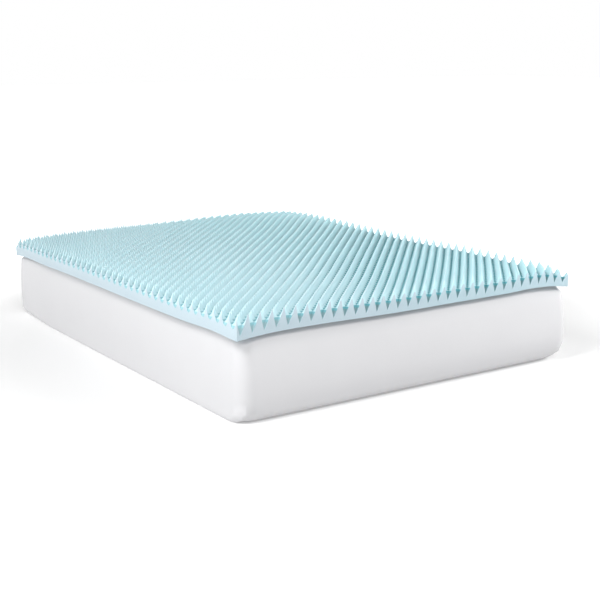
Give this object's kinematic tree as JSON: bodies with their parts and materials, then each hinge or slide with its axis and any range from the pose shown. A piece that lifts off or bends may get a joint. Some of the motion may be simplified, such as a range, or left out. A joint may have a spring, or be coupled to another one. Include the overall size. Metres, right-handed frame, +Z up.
{
  "type": "mattress topper on a mattress",
  "caption": "Rectangular slab of convoluted foam, its top cut into rounded peaks and pits, lying over a plain mattress with soft rounded edges.",
  "frame": {"origin": "on the floor, under the middle of the topper and the mattress together", "axes": "+X across the bed, +Y along the bed from its foot, +Z up"},
  "size_m": [1.533, 2.05, 0.3993],
  "materials": {
    "foam": "open-cell polyurethane foam, pale aqua, matt",
    "cover": "knitted polyester mattress cover, off-white, matt"
  },
  "bodies": {
    "root": {"topper": "foam", "mattress": "cover"}
  },
  "joints": []
}
